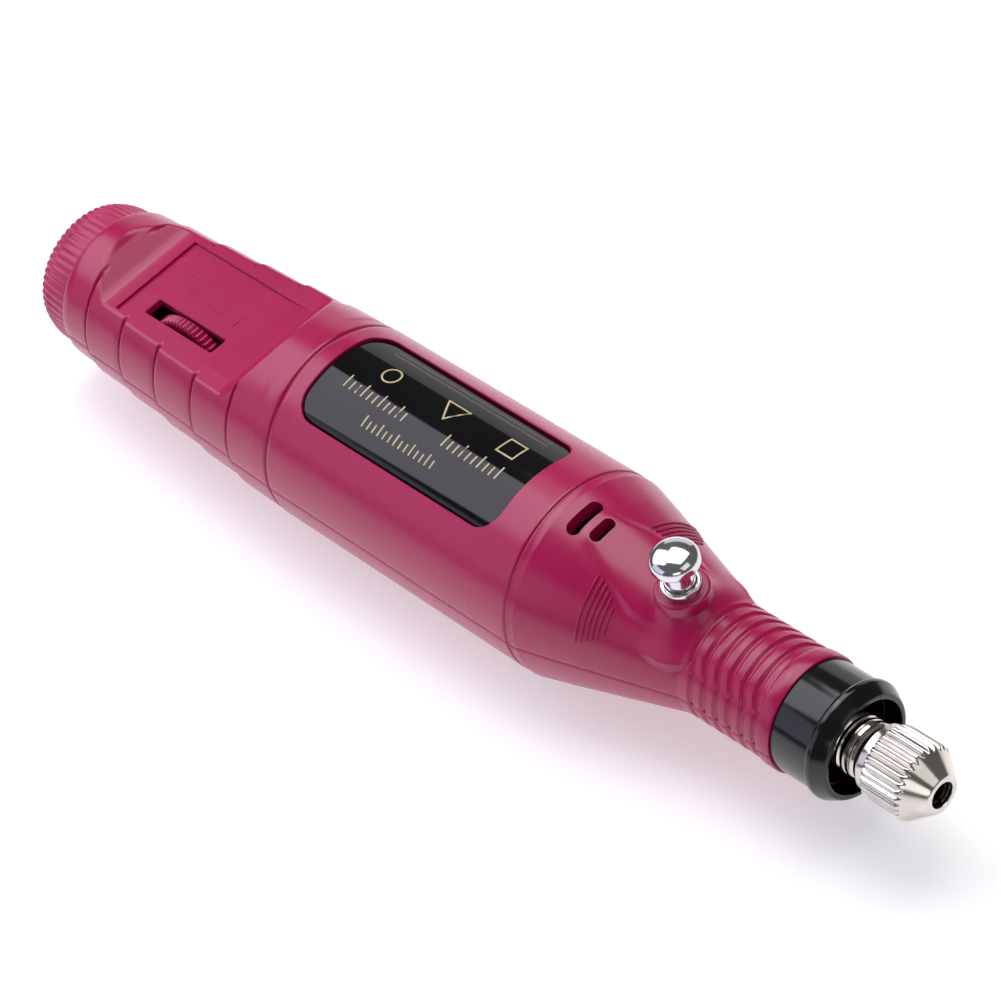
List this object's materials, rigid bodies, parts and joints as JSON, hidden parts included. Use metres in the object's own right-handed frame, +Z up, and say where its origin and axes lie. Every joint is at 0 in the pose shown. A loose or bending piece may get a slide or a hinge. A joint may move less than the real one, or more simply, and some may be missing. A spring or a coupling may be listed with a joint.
{
  "type": "electric nail grinder",
  "caption": "Pen-shaped electric nail grinder with a threaded collet chuck, sprung lock pin, recessed speed wheel and rear power inlet.",
  "frame": {"origin": "on the spindle axis at the collet's mouth", "axes": "+X along the spindle, out of the nose; +Z up, out of the control panel; +Y to the left seen from behind"},
  "size_m": [0.1528, 0.0274, 0.0305],
  "materials": {
    "housing_plastic": "moulded ABS, semi gloss",
    "black_plastic": "moulded ABS, gloss",
    "label_film": "polished film",
    "bright_plate": "polished plate",
    "nickel_plate": "nickel plate",
    "spring_steel": "blued spring steel",
    "bearing_steel": "ground",
    "turned_steel": "turned",
    "carrier_aluminium": "turned",
    "coupling_nylon": "moulded nylon",
    "motor_zinc": "zinc plate",
    "ferrite": "sintered",
    "end_bell_nylon": "moulded nylon",
    "sintered_bronze": "sintered",
    "brush_carbon": "pressed carbon",
    "contact_brass": "stamped",
    "core_steel": "laminated",
    "winding_copper": "enamelled wire",
    "commutator_copper": "turned copper",
    "sleeve_rubber": "moulded",
    "board_laminate": "solder mask",
    "dial_body_nylon": "moulded",
    "dial_shaft_nylon": "moulded",
    "epoxy": "moulded epoxy",
    "capacitor_sleeve": "shrink sleeve",
    "resistor_lacquer": "lacquer",
    "red_pvc": "extruded pvc",
    "black_pvc": "extruded pvc",
    "screw_zinc": "zinc plate"
  },
  "bodies": {
    "housing": {"upper_shell": "housing_plastic", "lower_shell": "housing_plastic", "rear_cap": "housing_plastic", "front_collar": "black_plastic", "label_plate": "label_film", "lock_bush": "bright_plate", "lock_spring": "spring_steel", "front_bearing_outer": "bearing_steel", "rear_bearing_outer": "bearing_steel", "bearing_carrier": "carrier_aluminium", "carrier_circlip": "spring_steel", "wave_washer": "spring_steel", "motor_can": "motor_zinc", "motor_magnets": "ferrite", "motor_end_bell": "end_bell_nylon", "motor_front_bush": "sintered_bronze", "motor_rear_bush": "sintered_bronze", "motor_brushes": "brush_carbon", "motor_terminals": "contact_brass", "motor_sleeve": "sleeve_rubber", "control_board": "board_laminate", "potentiometer_body": "dial_body_nylon", "power_transistor": "epoxy", "smoothing_capacitor": "capacitor_sleeve", "board_resistors": "resistor_lacquer", "jack_body": "black_plastic", "jack_pin": "contact_brass", "jack_contacts": "contact_brass", "motor_lead_red": "red_pvc", "motor_lead_black": "black_pvc", "supply_lead_red": "red_pvc", "supply_lead_black": "black_pvc", "housing_screws": "screw_zinc"},
    "spindle": {"spindle_shaft": "nickel_plate", "lock_collar": "turned_steel", "front_spacer": "turned_steel", "rear_spacer": "turned_steel", "drive_coupling": "coupling_nylon", "front_bearing_inner": "bearing_steel", "rear_bearing_inner": "bearing_steel", "motor_shaft": "turned_steel", "armature_core": "core_steel", "armature_windings": "winding_copper", "commutator": "commutator_copper"},
    "front_balls": {"front_bearing_balls": "bearing_steel"},
    "rear_balls": {"rear_bearing_balls": "bearing_steel"},
    "collet": {"collet": "spring_steel"},
    "nut": {"collet_nut": "nickel_plate"},
    "lock_pin": {"lock_pin": "bright_plate"},
    "speed_dial": {"speed_wheel": "housing_plastic", "dial_shaft": "dial_shaft_nylon"}
  },
  "joints": [
    {"name": "spindle_spin", "type": "hinge", "parent": "housing", "child": "spindle", "pos_m": [0, 0, 0], "axis": [1, 0, 0], "continuous": true},
    {"name": "front_balls_roll", "type": "hinge", "parent": "housing", "child": "front_balls", "pos_m": [0, 0, 0], "axis": [1, 0, 0], "continuous": true},
    {"name": "rear_balls_roll", "type": "hinge", "parent": "housing", "child": "rear_balls", "pos_m": [0, 0, 0], "axis": [1, 0, 0], "continuous": true},
    {"name": "collet_slide", "type": "slide", "parent": "spindle", "child": "collet", "axis": [1, 0, 0], "range_m": [0, 0.00112]},
    {"name": "nut_turn", "type": "hinge", "parent": "collet", "child": "nut", "pos_m": [0, 0, 0], "axis": [1, 0, 0], "range_deg": [0, 540]},
    {"name": "lock_press", "type": "slide", "parent": "housing", "child": "lock_pin", "axis": [0, 0, -1], "range_m": [0, 0.0022], "stiffness_N_per_m": 900, "springref_m": -0.001, "deforming": ["lock_spring"]},
    {"name": "speed_turn", "type": "hinge", "parent": "housing", "child": "speed_dial", "pos_m": [-0.12515, 0, -0.00035], "axis": [0, 1, 0], "range_deg": [0, 270]}
  ],
  "couplings": [
    {"joint": "front_balls_roll", "follows": "spindle_spin", "ratio": 0.4},
    {"joint": "rear_balls_roll", "follows": "spindle_spin", "ratio": 0.4},
    {"joint": "nut_turn", "follows": "collet_slide", "rad_per_m": 8377.6}
  ]
}
